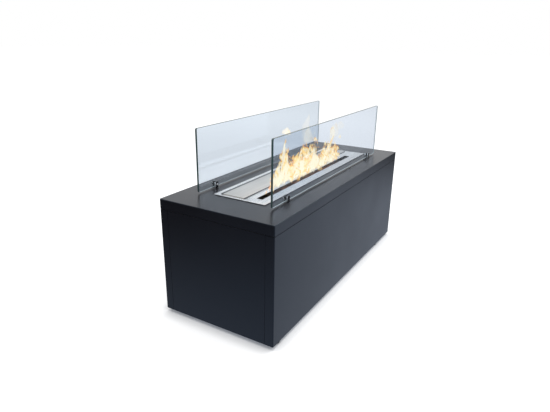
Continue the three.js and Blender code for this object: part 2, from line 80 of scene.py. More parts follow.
def make_camera():
    data = bpy.data.cameras.new("camera")
    data.sensor_width = SENSOR
    data.lens = FOCAL_PIXELS / PHOTO_WIDTH * SENSOR
    camera = bpy.data.objects.new("camera", data)
    bpy.context.scene.collection.objects.link(camera)
    level = math.cos(VIEW_ELEVATION)
    back = Vector((
        math.sin(VIEW_AZIMUTH) * level,
        -math.cos(VIEW_AZIMUTH) * level,
        math.sin(VIEW_ELEVATION),
    ))
    right = Vector((math.cos(VIEW_AZIMUTH), math.sin(VIEW_AZIMUTH), 0))
    up = back.cross(right)
    rolled_right = right * math.cos(VIEW_ROLL) + up * math.sin(VIEW_ROLL)
    rolled_up = up * math.cos(VIEW_ROLL) - right * math.sin(VIEW_ROLL)
    turn = Matrix((rolled_right, rolled_up, back)).transposed().to_4x4()
    camera.matrix_world = Matrix.Translation(CAMERA_PLACE) @ turn
    bpy.context.scene.camera = camera
    print(f"camera with a {data.lens:.1f} mm lens at {tuple(CAMERA_PLACE)}")


make_camera()


# %% [markdown]
# Node trees get long when every line builds, names and links by hand, so three small
# helpers come first. feed() sets a shader's sockets by name and makes a link where it is
# given another node's output; number() is a Math node, and fade() a smooth ramp from 0 to 1.

# %% Helpers for node trees
def feed(tree, target, values):
    for name, value in values.items():
        socket = target.inputs[name]
        if isinstance(value, bpy.types.NodeSocket):
            tree.links.new(value, socket)
        else:
            socket.default_value = value
    return target


def node(tree, kind, values=None, **settings):
    made = tree.nodes.new(kind)
    for name, value in settings.items():
        setattr(made, name, value)
    return feed(tree, made, values or {})


def number(tree, operation, first, second=0.0):
    made = node(tree, "ShaderNodeMath", {0: first, 1: second}, operation=operation)
    return made.outputs[0]


def fade(tree, value, low, high, to_low=0.0, to_high=1.0):
    made = node(
        tree, "ShaderNodeMapRange",
        {"Value": value, "From Min": low, "From Max": high, "To Min": to_low, "To Max": to_high},
        interpolation_type="SMOOTHSTEP",
    )
    return made.outputs["Result"]


def mixed(tree, amount, first, second):
    """Two colours mixed: amount 0 gives the first and 1 the second."""
    made = node(
        tree, "ShaderNodeMix", {"Factor": amount}, data_type="RGBA", clamp_factor=True
    )
    for socket, value in ((made.inputs[6], first), (made.inputs[7], second)):
        if isinstance(value, bpy.types.NodeSocket):
            tree.links.new(value, socket)
        else:
            socket.default_value = (*value, 1)
    return made.outputs[2]


def noise_at(tree, where, scale, detail=2.0, roughness=0.5):
    values = {"Vector": where, "Scale": scale, "Detail": detail, "Roughness": roughness}
    return node(tree, "ShaderNodeTexNoise", values).outputs["Fac"]


def place_on_piece(tree, stretch=(1, 1, 1)):
    """Coordinates fixed to the piece, stretched along an axis where a finish needs it."""
    here = node(tree, "ShaderNodeTexCoord").outputs["Object"]
    return node(
        tree, "ShaderNodeMapping", {"Vector": here, "Scale": stretch}
    ).outputs["Vector"]


# %% [markdown]
# Several finishes share the same effects, so each effect is a node group that is built once:
# a fine grain for powder coat and rubber, brush lines for sheet metal, wear along the edges,
# and dust on what faces up. A group gives only masks and heights, and each material decides
# what to do with them.

# %% Helper for node groups
def new_group(name, inputs, outputs):
    """An empty group with float inputs (name: value) and float outputs."""
    group = bpy.data.node_groups.new(name, "ShaderNodeTree")
    for label, value in inputs.items():
        socket = group.interface.new_socket(label, in_out="INPUT", socket_type="NodeSocketFloat")
        socket.default_value = value
    for label in outputs:
        group.interface.new_socket(label, in_out="OUTPUT", socket_type="NodeSocketFloat")
    start = group.nodes.new("NodeGroupInput").outputs
    end = group.nodes.new("NodeGroupOutput")
    return group, start, end


# %% Grain: small bumps, and slow changes over a hand's width
def grain_group():
    group, start, end = new_group("grain", {"Scale": 900.0, "Patch": 9.0}, ["Height", "Drift"])
    here = place_on_piece(group)
    height = noise_at(group, here, start["Scale"], 2.0, 0.55)
    drift = noise_at(group, here, start["Patch"], 3.0, 0.5)
    feed(group, end, {"Height": height, "Drift": drift})
    return group


# %% Brush lines: noise drawn out along X, as a belt leaves them on sheet
def brush_group():
    group, start, end = new_group("brush_lines", {"Scale": 1.0, "Patch": 14.0}, ["Height", "Streak"])
    lines = place_on_piece(group, (9, 1500, 1500))
    bands = place_on_piece(group, (2.5, 160, 160))
    height = noise_at(group, lines, start["Scale"], 3.0, 0.6)
    streak = noise_at(group, bands, start["Scale"], 2.0, 0.5)
    here = place_on_piece(group)
    patch = noise_at(group, here, start["Patch"], 2.0, 0.5)
    feed(group, end, {"Height": height, "Streak": number(group, "MULTIPLY", streak, patch)})
    return group


# %% Edge wear: where a rounded normal leaves the true one, an edge is near
def wear_group():
    group, start, end = new_group("edge_wear", {"Radius": 0.0012, "Break up": 60.0}, ["Wear"])
    soft = node(group, "ShaderNodeBevel", {"Radius": start["Radius"]}, samples=4)
    true = node(group, "ShaderNodeNewGeometry").outputs["Normal"]
    facing = node(group, "ShaderNodeVectorMath", operation="DOT_PRODUCT")
    group.links.new(soft.outputs["Normal"], facing.inputs[0])
    group.links.new(true, facing.inputs[1])
    edge = fade(group, facing.outputs["Value"], 0.995, 0.86)
    patchy = fade(group, noise_at(group, place_on_piece(group), start["Break up"], 4.0), 0.42, 0.62)
    feed(group, end, {"Wear": number(group, "MULTIPLY", edge, patchy)})
    return group


# %% Dust: thin, patchy, and only on faces that look up
def dust_group():
    group, start, end = new_group("dust", {"Scale": 26.0}, ["Dust"])
    normal = node(group, "ShaderNodeNewGeometry").outputs["Normal"]
    upward = node(group, "ShaderNodeSeparateXYZ", {"Vector": normal}).outputs["Z"]
    settled = fade(group, upward, 0.4, 1.0)
    here = place_on_piece(group)
    cloud = fade(group, noise_at(group, here, start["Scale"], 5.0, 0.6), 0.35, 0.8)
    specks = fade(group, noise_at(group, here, 700.0, 1.0), 0.66, 0.76)
    both = number(group, "ADD", number(group, "MULTIPLY", cloud, 0.6), specks)
    feed(group, end, {"Dust": number(group, "MULTIPLY", settled, both)})
    return group


GRAIN = grain_group()
BRUSH = brush_group()
WEAR = wear_group()
DUST = dust_group()
print("shared effects:", [group.name for group in (GRAIN, BRUSH, WEAR, DUST)])


# %% Helpers for materials
def new_material(name):
    """A material with its Principled shader wired up, ready to be fed."""
    material = bpy.data.materials.new(name)
    material.use_nodes = True
    tree = material.node_tree
    return material, tree, tree.nodes["Principled BSDF"]


def effect(tree, group, values=None):
    made = tree.nodes.new("ShaderNodeGroup")
    made.node_tree = group
    return feed(tree, made, values or {}).outputs


def bumped(tree, height, depth, strength=1.0):
    made = node(tree, "ShaderNodeBump", {"Height": height, "Distance": depth, "Strength": strength})
    return made.outputs["Normal"]


# %% [markdown]
# Satin black powder coat covers the whole box. It is almost black where it is looked at
# squarely and shines grey at a shallow angle, which the shader's own gloss gives. Its gloss
# is blue where it is weak, has the fine skin of baked powder, and is thinner along the edges.

# %% Powder coat
def powder_coat():
    material, tree, shader = new_material("satin_black_powder_coat")
    grain = effect(tree, GRAIN, {"Scale": 850.0, "Patch": 7.0})
    wear_and_glint = effect(tree, WEAR, {"Radius": 0.0011, "Break up": 45.0})["Wear"]
    dust = effect(tree, DUST, {"Scale": 18.0})["Dust"]
    paint = mixed(tree, grain["Drift"], (0.0060, 0.0046, 0.0056), (0.0080, 0.0062, 0.0072))
    worn = mixed(tree, number(tree, "MULTIPLY", wear_and_glint, 0.35), paint, (0.035, 0.038, 0.044))
    dusty = mixed(tree, number(tree, "MULTIPLY", dust, 0.025), worn, (0.35, 0.36, 0.38))
    rough = fade(tree, grain["Drift"], 0.2, 0.8, 0.27, 0.33)
    feed(tree, shader, {
        "Base Color": dusty,
        "Roughness": rough,
        "IOR": 1.45,
        "Specular Tint": (0.50, 0.72, 1.0, 1),
        "Normal": bumped(tree, grain["Height"], 0.00004, 0.35),
    })
    return material


# %% [markdown]
# The burner is brushed stainless. The belt runs along the sheet, so the grain is drawn out
# along X and stirs both the gloss and the normal. The slide cover is the same steel, seen a
# shade warmer in the photo. Faces of the sheets that look along X or Y get painted shade: a
# dark colour in place of the shadow in the gaps beside them. The cover's rear strip is
# painted dark the same way, for the gap behind it.

# %% Brushed stainless
# Painted shade: the colour that edge faces take in place of the shadow in the gaps beside them.
PAINTED_GAP_SHADE = (0.12, 0.123, 0.128)


def stainless(name, light, deep, gloss, shaded_sides=(0, 0, 0), shaded_rim=None):
    """Brushed steel. The sides argument weighs the axes along which a face gets painted shade,
    a dark colour for the shadow of a gap, and the rim argument is the place along Y, in
    metres, past which the face is painted dark too."""
    material, tree, shader = new_material(name)
    brush = effect(tree, BRUSH, {"Scale": 1.0, "Patch": 11.0})
    wear_and_glint = effect(tree, WEAR, {"Radius": 0.0008, "Break up": 80.0})["Wear"]
    dust = effect(tree, DUST, {"Scale": 30.0})["Dust"]
    steel = mixed(tree, fade(tree, brush["Streak"], 0.1, 0.45), deep, light)
    bright = mixed(tree, number(tree, "MULTIPLY", wear_and_glint, 0.2), steel, (0.86, 0.87, 0.88))
    # Painted shade: faces that look along the weighted axes take the dark gap colour.
    normal = node(tree, "ShaderNodeNewGeometry").outputs["True Normal"]
    sideways = node(tree, "ShaderNodeVectorMath", {0: normal, 1: shaded_sides}, operation="MULTIPLY")
    side = node(tree, "ShaderNodeVectorMath", {0: sideways.outputs["Vector"]}, operation="LENGTH")
    painted_shade = fade(tree, side.outputs["Value"], 0.35, 0.75)
    # Painted shade: past the rim along Y the face takes the dark gap colour, for the gap behind the
    # cover.
    if shaded_rim is not None:
        here = node(tree, "ShaderNodeSeparateXYZ", {"Vector": place_on_piece(tree)})
        past = fade(tree, here.outputs["Y"], shaded_rim - 0.4 * MM, shaded_rim + 0.4 * MM)
        painted_shade = number(tree, "MAXIMUM", painted_shade, past)
    feed(tree, shader, {
        "Base Color": mixed(tree, painted_shade, bright, PAINTED_GAP_SHADE),
        "Metallic": fade(tree, dust, 0.0, 1.0, 1.0, 0.9),
        "Roughness": fade(tree, brush["Height"], 0.25, 0.75, gloss - 0.06, gloss + 0.08),
        "Normal": bumped(tree, brush["Height"], 0.00003, 0.5),
    })
    return material


# %% [markdown]
# Inside the slot the steel and the wool are lit by the fire that stands in it. The glow is
# painted on in patches and only near the slot, because the fire itself casts no light.

# %% Firelight inside the slot
FIRE_START, FIRE_END = -276, 216  # mm along the slot
GLOW_FADE = 45 * MM
GLOW_REACH = 40 * MM
GLOW_COLOUR = (0.22, 0.074, 0.028)


def light_by_fire(material):
    tree = material.node_tree
    here = place_on_piece(tree)
    place = node(tree, "ShaderNodeSeparateXYZ", {"Vector": here}).outputs
    off_line = number(tree, "ABSOLUTE", number(tree, "SUBTRACT", place["Y"], slot_y))
    beside = fade(tree, off_line, GLOW_REACH, 0.6 * GLOW_REACH)
    start, end = FIRE_START * MM, FIRE_END * MM
    begins = fade(tree, place["X"], start + GLOW_FADE, start + 3 * GLOW_FADE)
    ends = fade(tree, place["X"], end + GLOW_FADE, end)
    near = number(tree, "MULTIPLY", beside, number(tree, "MULTIPLY", begins, ends))
    patch = fade(tree, noise_at(tree, here, 45.0, 3.0), 0.35, 0.65, 0.15, 1.0)
    glow = mixed(tree, number(tree, "MULTIPLY", near, patch), (0.0, 0.0, 0.0), GLOW_COLOUR)
    shader = tree.nodes["Principled BSDF"]
    feed(tree, shader, {"Emission Color": glow, "Emission Strength": 1.0})


# %% [markdown]
# The clamps are polished chrome with the faint smears of fingers in its gloss. Their
# reflections are painted into the colour: the broad flats get a near-black tone, a painted
# reflection of the dark box, and their ends a bright tone, a painted reflection of the room
# and the lamps. Their rounded edges take a bright chrome as a painted highlight, and the wear
# mask lightens the edges further, partly as wear and partly as painted highlight. Screws and
# studs are zinc plated, which is duller and slightly mottled. The base tray is plain
# galvanised sheet, and the posts and rails behind the seams are blackened, so that no seam
# shows a bright line.

# %% Chrome, zinc and galvanised sheet
def chrome(name, tone, end_reflection_tone, gloss):
    """Chrome with painted reflections: tone on the flats, and the end tone, a bright painted
    reflection, on what faces along X.
    """
    material, tree, shader = new_material(name)
    grain = effect(tree, GRAIN, {"Scale": 400.0, "Patch": 60.0})
    wear_and_glint = effect(tree, WEAR, {"Radius": 0.0006, "Break up": 120.0})["Wear"]
    normal = node(tree, "ShaderNodeNewGeometry").outputs["True Normal"]
    endways = node(tree, "ShaderNodeSeparateXYZ", {"Vector": normal}).outputs["X"]
    end = fade(tree, number(tree, "ABSOLUTE", endways), 0.5, 0.8)
    # Painted reflection: faces along X take the bright end tone, the flats the dark one.
    painted_reflection = mixed(tree, end, tone, end_reflection_tone)
    # Painted highlight, partly wear: along the edges the plate turns near white.
    plate = mixed(tree, number(tree, "MULTIPLY", wear_and_glint, 0.6), painted_reflection, (0.92, 0.93, 0.94))
    feed(tree, shader, {
        "Base Color": plate,
        "Metallic": 1.0,
        "Roughness": fade(tree, grain["Drift"], 0.3, 0.8, gloss, gloss + 0.1),
    })
    return material


def plated_steel(name, light, deep, patch, gloss):
    material, tree, shader = new_material(name)
    grain = effect(tree, GRAIN, {"Scale": 600.0, "Patch": patch})
    wear_and_glint = effect(tree, WEAR, {"Radius": 0.0006, "Break up": 90.0})["Wear"]
    spangle = fade(tree, grain["Drift"], 0.35, 0.65)
    sheet = mixed(tree, spangle, deep, light)
    rubbed = mixed(tree, number(tree, "MULTIPLY", wear_and_glint, 0.4), sheet, (0.7, 0.71, 0.72))
    feed(tree, shader, {
        "Base Color": rubbed,
        "Metallic": 1.0,
        "Roughness": fade(tree, spangle, 0.0, 1.0, gloss, gloss + 0.12),
        "Normal": bumped(tree, grain["Height"], 0.00003, 0.4),
    })
    return material


# %% [markdown]
# The feet and the strips in the clamps are black rubber, matt and a little chalky on top.
# The wool that holds the fuel is a soft block of fibres, browned and singed by the fire.

# %% Rubber and ceramic wool
def rubber():
    material, tree, shader = new_material("matt_black_rubber")
    grain = effect(tree, GRAIN, {"Scale": 500.0, "Patch": 50.0})
    dust = effect(tree, DUST, {"Scale": 90.0})["Dust"]
    black = mixed(tree, grain["Drift"], (0.008, 0.008, 0.009), (0.016, 0.016, 0.017))
    feed(tree, shader, {
        "Base Color": mixed(tree, number(tree, "MULTIPLY", dust, 0.15), black, (0.2, 0.2, 0.2)),
        "Roughness": fade(tree, grain["Drift"], 0.2, 0.8, 0.62, 0.8),
        "Normal": bumped(tree, grain["Height"], 0.00008, 0.6),
    })
    return material


def ceramic_wool():
    material, tree, shader = new_material("ceramic_wool")
    fibres = noise_at(tree, place_on_piece(tree, (140, 500, 500)), 1.0, 5.0, 0.7)
    grain = effect(tree, GRAIN, {"Scale": 300.0, "Patch": 22.0})
    browned = mixed(tree, fibres, (0.10, 0.075, 0.058), (0.17, 0.135, 0.105))
    singed = fade(tree, grain["Drift"], 0.35, 0.65)
    feed(tree, shader, {
        "Base Color": mixed(tree, singed, browned, (0.030, 0.022, 0.016)),
        "Roughness": fade(tree, fibres, 0.0, 1.0, 0.85, 1.0),
        "Normal": bumped(tree, fibres, 0.0012, 0.9),
    })
    return material


# %% [markdown]
# Toughened glass is clear across its face and dark green through its edge, because a look
# into the edge passes through a hand's width of it. So a pane gets two materials: a pale
# tint for the faces, and a polished dark green for the rim. From inside the pane the back of
# the rim has no colour but a painted glow, an emission in place of the light that the glass
# pipes to it. From inside the pane, the rim is
# lit by what the glass pipes to it, so its back glows a little.
# In the photo the rear pane mirrors the room and the front one hardly does, so the two get
# their own values.

# %% Glass
def pane_glass(name, thin, thick, mirror):
    """Clear glass between two tints. mirror is the index that sets how much it reflects."""
    material, tree, shader = new_material(name)
    grain = effect(tree, GRAIN, {"Scale": 200.0, "Patch": 8.0})
    feed(tree, shader, {
        "Base Color": mixed(tree, grain["Drift"], thick, thin),
        "Roughness": 0.0,
        "IOR": mirror,
        "Transmission Weight": 1.0,
    })
    return material


# Painted glow: the back of the rim emits this, in place of the light the glass pipes to it.
PAINTED_PIPED_GLOW = (0.27, 0.32, 0.34)


def rim_glass():
    material, tree, shader = new_material("glass_edge")
    grain = effect(tree, GRAIN, {"Scale": 300.0, "Patch": 30.0})
    green = mixed(tree, grain["Drift"], (0.040, 0.072, 0.074), (0.058, 0.098, 0.100))
    behind = node(tree, "ShaderNodeNewGeometry").outputs["Backfacing"]
    feed(tree, shader, {
        "Base Color": mixed(tree, behind, green, (0.0, 0.0, 0.0)),
        # Painted glow on the rim's back, which has no colour of its own there.
        "Emission Color": mixed(tree, behind, (0.0, 0.0, 0.0), PAINTED_PIPED_GLOW),
        "Emission Strength": 1.0,
        "Roughness": fade(tree, grain["Drift"], 0.3, 0.8, 0.12, 0.25),
        "IOR": 1.5,
    })
    return material


# %% Make the materials
deck_low, deck_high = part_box("burner_deck")
SLOT_MIDDLE = 37.75 * MM  # from the deck's front edge
slot_y = deck_low.y + SLOT_MIDDLE
# Painted shade: width of the dark strip along the cover's rear edge, for the gap behind it.
COVER_SHADED_RIM = 8.0 * MM
cover_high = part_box("slide_cover")[1]
COAT = powder_coat()
# The deck's edge faces and the cover's front edge get painted shade.
DECK_STEEL = stainless(
    "brushed_stainless", (0.76, 0.765, 0.765), (0.68, 0.685, 0.69), 0.30, shaded_sides=(1, 1, 0)
)
COVER_STEEL = stainless(
    "warm_stainless", (0.63, 0.615, 0.59), (0.56, 0.545, 0.525), 0.34,
    shaded_sides=(0, 1, 0), shaded_rim=cover_high.y - COVER_SHADED_RIM,
)
STAINED = ((0.060, 0.030, 0.018), (0.022, 0.011, 0.007), 0.45)
TANK_STEEL = stainless("heat_stained_stainless", *STAINED)
FIRELIT_STEEL = stainless("firelit_stainless", *STAINED)
light_by_fire(FIRELIT_STEEL)
# Chrome with painted reflections: a near-black tone on the flats, a bright one on the ends.
CHROME = chrome("chrome_with_painted_reflections", (0.012, 0.012, 0.014), (0.80, 0.82, 0.84), 0.06)
# Painted highlight: a bright chrome for the rounded edges of the clamps.
GLINT_PLATE_COLOUR = (0.95, 0.96, 0.97)
PAINTED_GLINT_CHROME = chrome("painted_glint_chrome", GLINT_PLATE_COLOUR, GLINT_PLATE_COLOUR, 0.28)
ZINC = plated_steel("zinc_plate", (0.62, 0.64, 0.66), (0.5, 0.52, 0.53), 260.0, 0.26)
GALVANISED = plated_steel("galvanised_sheet", (0.5, 0.51, 0.53), (0.38, 0.39, 0.41), 110.0, 0.38)
BLACKENED = plated_steel("blackened_steel", (0.030, 0.031, 0.034), (0.018, 0.019, 0.021), 110.0, 0.5)
RUBBER = rubber()
WOOL = ceramic_wool()
light_by_fire(WOOL)
FRONT_PANE = pane_glass("clear_glass", (0.735, 0.788, 0.852), (0.715, 0.770, 0.838), 1.16)
REAR_PANE = pane_glass("mirroring_glass", (0.695, 0.755, 0.815), (0.680, 0.742, 0.802), 1.30)
RIM = rim_glass()
print(len(bpy.data.materials), "materials")


# %% [markdown]
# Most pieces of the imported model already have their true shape, and only lack a finish and
# the tiny radius that every real edge has. They stay as they are: a Weld modifier joins the
# loose corners of the import and a Bevel modifier rounds what is sharp, so the mesh itself
# is never touched.

# %% Dress the pieces that keep their CAD shape
def paint(piece, *materials):
    if piece.data.materials:
        piece.data.materials.clear()
    for material in materials:
        piece.data.materials.append(material)


def dress(name, material, edge, segments=2, edge_material=None):
    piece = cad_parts[name]
    paint(piece, material)
    for face in piece.data.polygons:
        face.use_smooth = True
    piece.modifiers.new("weld", "WELD").merge_threshold = 0.00001
    bevel = piece.modifiers.new("edge", "BEVEL")
    bevel.width = edge
    bevel.segments = segments
    bevel.limit_method = "ANGLE"
    bevel.angle_limit = math.radians(40)
    bevel.harden_normals = True
    if edge_material:
        piece.data.materials.append(edge_material)
        bevel.material = 1
    return piece


def weighted_normals(piece):
    """Keeps large flat faces flat and lets the small rounded ones turn between them."""
    weighted = piece.modifiers.new("normals", "WEIGHTED_NORMAL")
    weighted.keep_sharp = True
    weighted.weight = 100


for name in ("front_panel", "rear_panel", "left_end_panel", "right_end_panel"):
    weighted_normals(dress(name, COAT, 0.15 * MM))
for name in ("front_rail", "rear_rail"):
    dress(name, BLACKENED, 0.3 * MM)
dress("base_tray", GALVANISED, 0.3 * MM)
dress("burner_deck", DECK_STEEL, 0.3 * MM, 3)
dress("slide_cover", COVER_STEEL, 0.4 * MM, 3)
dress("recess_pan", TANK_STEEL, 0.3 * MM)
dress("burner_tank", FIRELIT_STEEL, 0.3 * MM)
dress("wool_screen", FIRELIT_STEEL, 0.15 * MM)
dress("ceramic_wool", WOOL, 2 * MM, 3)
for corner in CORNERS:
    dress(f"corner_post_{corner}", BLACKENED, 0.3 * MM)
    dress(f"foot_stud_{corner}", ZINC, 0.2 * MM)
    dress(f"foot_nut_{corner}", ZINC, 0.4 * MM)
    dress(f"base_screw_{corner}", ZINC, 0.25 * MM)
    dress(f"clamp_bolt_{corner}", ZINC, 0.25 * MM)
    dress(f"clamp_screw_{corner}", ZINC, 0.2 * MM)
    dress(f"clamp_liner_{corner}", RUBBER, 0.15 * MM)
    dress(f"foot_pad_{corner}", RUBBER, 0.5 * MM, 3)
    # The clamps' bevelled edges take the bright chrome as a painted highlight.
    dress(f"clamp_body_{corner}", CHROME, 2.2 * MM, 3, PAINTED_GLINT_CHROME)
print("dressed", sum(1 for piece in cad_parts.values() if piece.modifiers), "CAD pieces")


# %% [markdown]
# A folded cap, a plate and a pane are all the same kind of shape: a row of closed outlines
# with skin between them. One helper stacks the outlines and joins each to the next. Rounded
# edges come from a few extra outlines, each drawn in a little further along a quarter circle.

# %% Helpers for meshes
def rounded_outline(low, high, radius, steps=5):
    """A rectangle with round corners as (x, y) points, anticlockwise."""
    centres = [
        (high[0] - radius, high[1] - radius),
        (low[0] + radius, high[1] - radius),
        (low[0] + radius, low[1] + radius),
        (high[0] - radius, low[1] + radius),
    ]
    points = []
    for quarter, (x, y) in enumerate(centres):
        for step in range(steps + 1):
            angle = math.pi / 2 * (quarter + step / steps)
            points.append((x + radius * math.cos(angle), y + radius * math.sin(angle)))
    return points


def inset_outline(low, high, radius, inset, steps=5):
    """The same rectangle drawn in by inset, with its corners tightened to suit."""
    tight = max(radius - inset, 0.05 * MM)
    inner_low = (low[0] + inset, low[1] + inset)
    inner_high = (high[0] - inset, high[1] - inset)
    return rounded_outline(inner_low, inner_high, tight, steps)


def quarter_turn(radius, steps=4):
    """(drawn in, along) pairs that roll an edge over a quarter circle."""
    angles = [math.pi / 2 * step / steps for step in range(steps + 1)]
    return [(radius * (1 - math.sin(a)), radius * (1 - math.cos(a))) for a in angles]


def skin(rings, loop=False):
    """A mesh from outlines of equal count: closed into a ring, or with a face at each end."""
    made = bmesh.new()
    rows = [[made.verts.new(point) for point in ring] for ring in rings]
    pairs = list(zip(rows, rows[1:]))
    if loop:
        pairs.append((rows[-1], rows[0]))
    for lower, upper in pairs:
        for index in range(len(lower)):
            after = (index + 1) % len(lower)
            made.faces.new((lower[index], lower[after], upper[after], upper[index]))
    if not loop:
        made.faces.new(reversed(rows[0]))
        made.faces.new(rows[-1])
    bmesh.ops.recalc_face_normals(made, faces=made.faces)
    return made


def finish_piece(made, name, body, slot, *materials):
    """Turns a bmesh into an object that rides on a body and takes the given materials. The slot
    argument is not used.
    """
    data = bpy.data.meshes.new(name)
    made.to_mesh(data)
    made.free()
    for face in data.polygons:
        face.use_smooth = True
    piece = bpy.data.objects.new(name, data)
    bpy.context.scene.collection.objects.link(piece)
    paint(piece, *materials)
    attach(piece, body)
    print(f"{name}: {len(data.polygons)} faces")
    return piece


# %% [markdown]
# The cap over the box is one sheet folded down on all four sides. Its outlines run from the
# burner's cut-out over the top, round the fold, down the lip, and back inside to the
# cut-out again, where they close on themselves.

# %% Cap
cap_low, cap_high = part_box("top_cover")
tank_low, tank_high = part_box("burner_tank")
SHEET = 2 * MM
CAP_CORNER = 2.8 * MM
CAP_FOLD = 1.6 * MM
CAP_CUT_EDGE = 0.25 * MM
CUTOUT_ROOM = 3.5 * MM


def build_cap():
    low, high = cap_low.xy, cap_high.xy
    cut_low = [value - CUTOUT_ROOM for value in tank_low.xy]
    cut_high = [value + CUTOUT_ROOM for value in tank_high.xy]
    top, bottom = cap_high.z, cap_low.z
    under = top - SHEET

    def outer(inset, level):
        return [(x, y, level) for x, y in inset_outline(low, high, CAP_CORNER, inset)]

    def cutout(inset, level):
        return [(x, y, level) for x, y in inset_outline(cut_low, cut_high, 1 * MM, inset)]

    rings = [cutout(0, top - CAP_CUT_EDGE), cutout(-CAP_CUT_EDGE, top)]
    rings += [outer(inset, top - drop) for inset, drop in quarter_turn(CAP_FOLD)]
    rings += [outer(0, bottom + CAP_CUT_EDGE), outer(CAP_CUT_EDGE, bottom)]
    rings += [outer(SHEET - CAP_CUT_EDGE, bottom), outer(SHEET, bottom + CAP_CUT_EDGE)]
    rings += [outer(SHEET, under - CAP_CUT_EDGE), outer(SHEET + CAP_CUT_EDGE, under)]
    rings += [cutout(-CAP_CUT_EDGE, under), cutout(0, under + CAP_CUT_EDGE)]
    cap = finish_piece(skin(rings, loop=True), "folded_cap", "casing", "powder_coat", COAT)
    weighted_normals(cap)
    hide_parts("top_cover")


build_cap()


# %% [markdown]
# A pane is a thick outline with a small polished bevel all round. Its two faces take the
# clear glass and everything round them takes the dark green of the rim.
# Glass would throw a hard black shadow, because light can't be followed through it in few
# samples, so the panes throw none.

# %% Panes
PANE_CORNER = 5 * MM
PANE_BEVEL = 0.5 * MM


def build_pane(name, node_name, body, glass):
    low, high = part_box(node_name)
    flat_low, flat_high = (low.x, low.z), (high.x, high.z)
    levels = [
        (PANE_BEVEL, low.y), (0, low.y + PANE_BEVEL), (0, high.y - PANE_BEVEL), (PANE_BEVEL, high.y)
    ]
    rings = []
    for inset, y in levels:
        outline = inset_outline(flat_low, flat_high, PANE_CORNER, inset, 8)
        rings.append([(x, y, z) for x, z in outline])
    made = skin(rings)
    for face in made.faces:
        face.material_index = 0 if abs(face.normal.y) > 0.99 else 1
    pane = finish_piece(made, name, body, "clear_glass", glass, RIM)
    for face in pane.data.polygons:
        face.use_smooth = False
    pane.visible_shadow = False
    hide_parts(node_name)


build_pane("front_pane", "front_glass", "front_pane", FRONT_PANE)
build_pane("rear_pane", "rear_glass", "rear_pane", REAR_PANE)


# %% [markdown]
# Fire has no surface, but it can be built of thin sheets that glow and are mostly see-through.
# A few curtains stand in the slot, one behind the other. Each rises to the outline of the
# fire, leans downwind and billows more the higher it gets. Ribbons that face all ways stand
# between them, so that the fire is deep from every side.
# Four numbers ride on every point: how deep it lies inside the fire, which the material turns
# into heat, how high it is above the foot, where the fire is still clear, a seed that shifts
# its noise, and a veil, the most that it may hide. Streaky noise eats ragged licks out of
# each sheet, and a slower noise that all sheets share opens hollows right through them.
# The fire is seen and lights nothing: a ray that has already bounced off something passes it.

# %% Flame material
FLAME_STRENGTH = 1.5
LICK_SHAPE = (60, 60, 24)
LICK_CUT = 2.4
HOLLOW_SHAPE = (26, 12, 17)
HOLLOW_CUT = 6.6
SWIRL_SCALE = 34.0
SWIRL_HEAT = 2.2
HOLLOW_HEAT = 0.42
FLAME_COLOURS = [
    (0.00, (0.56, 0.24, 0.14)),
    (0.20, (0.90, 0.37, 0.11)),
    (0.42, (0.98, 0.56, 0.15)),
    (0.66, (1.0, 0.76, 0.34)),
    (0.95, (1.0, 0.87, 0.62)),
]


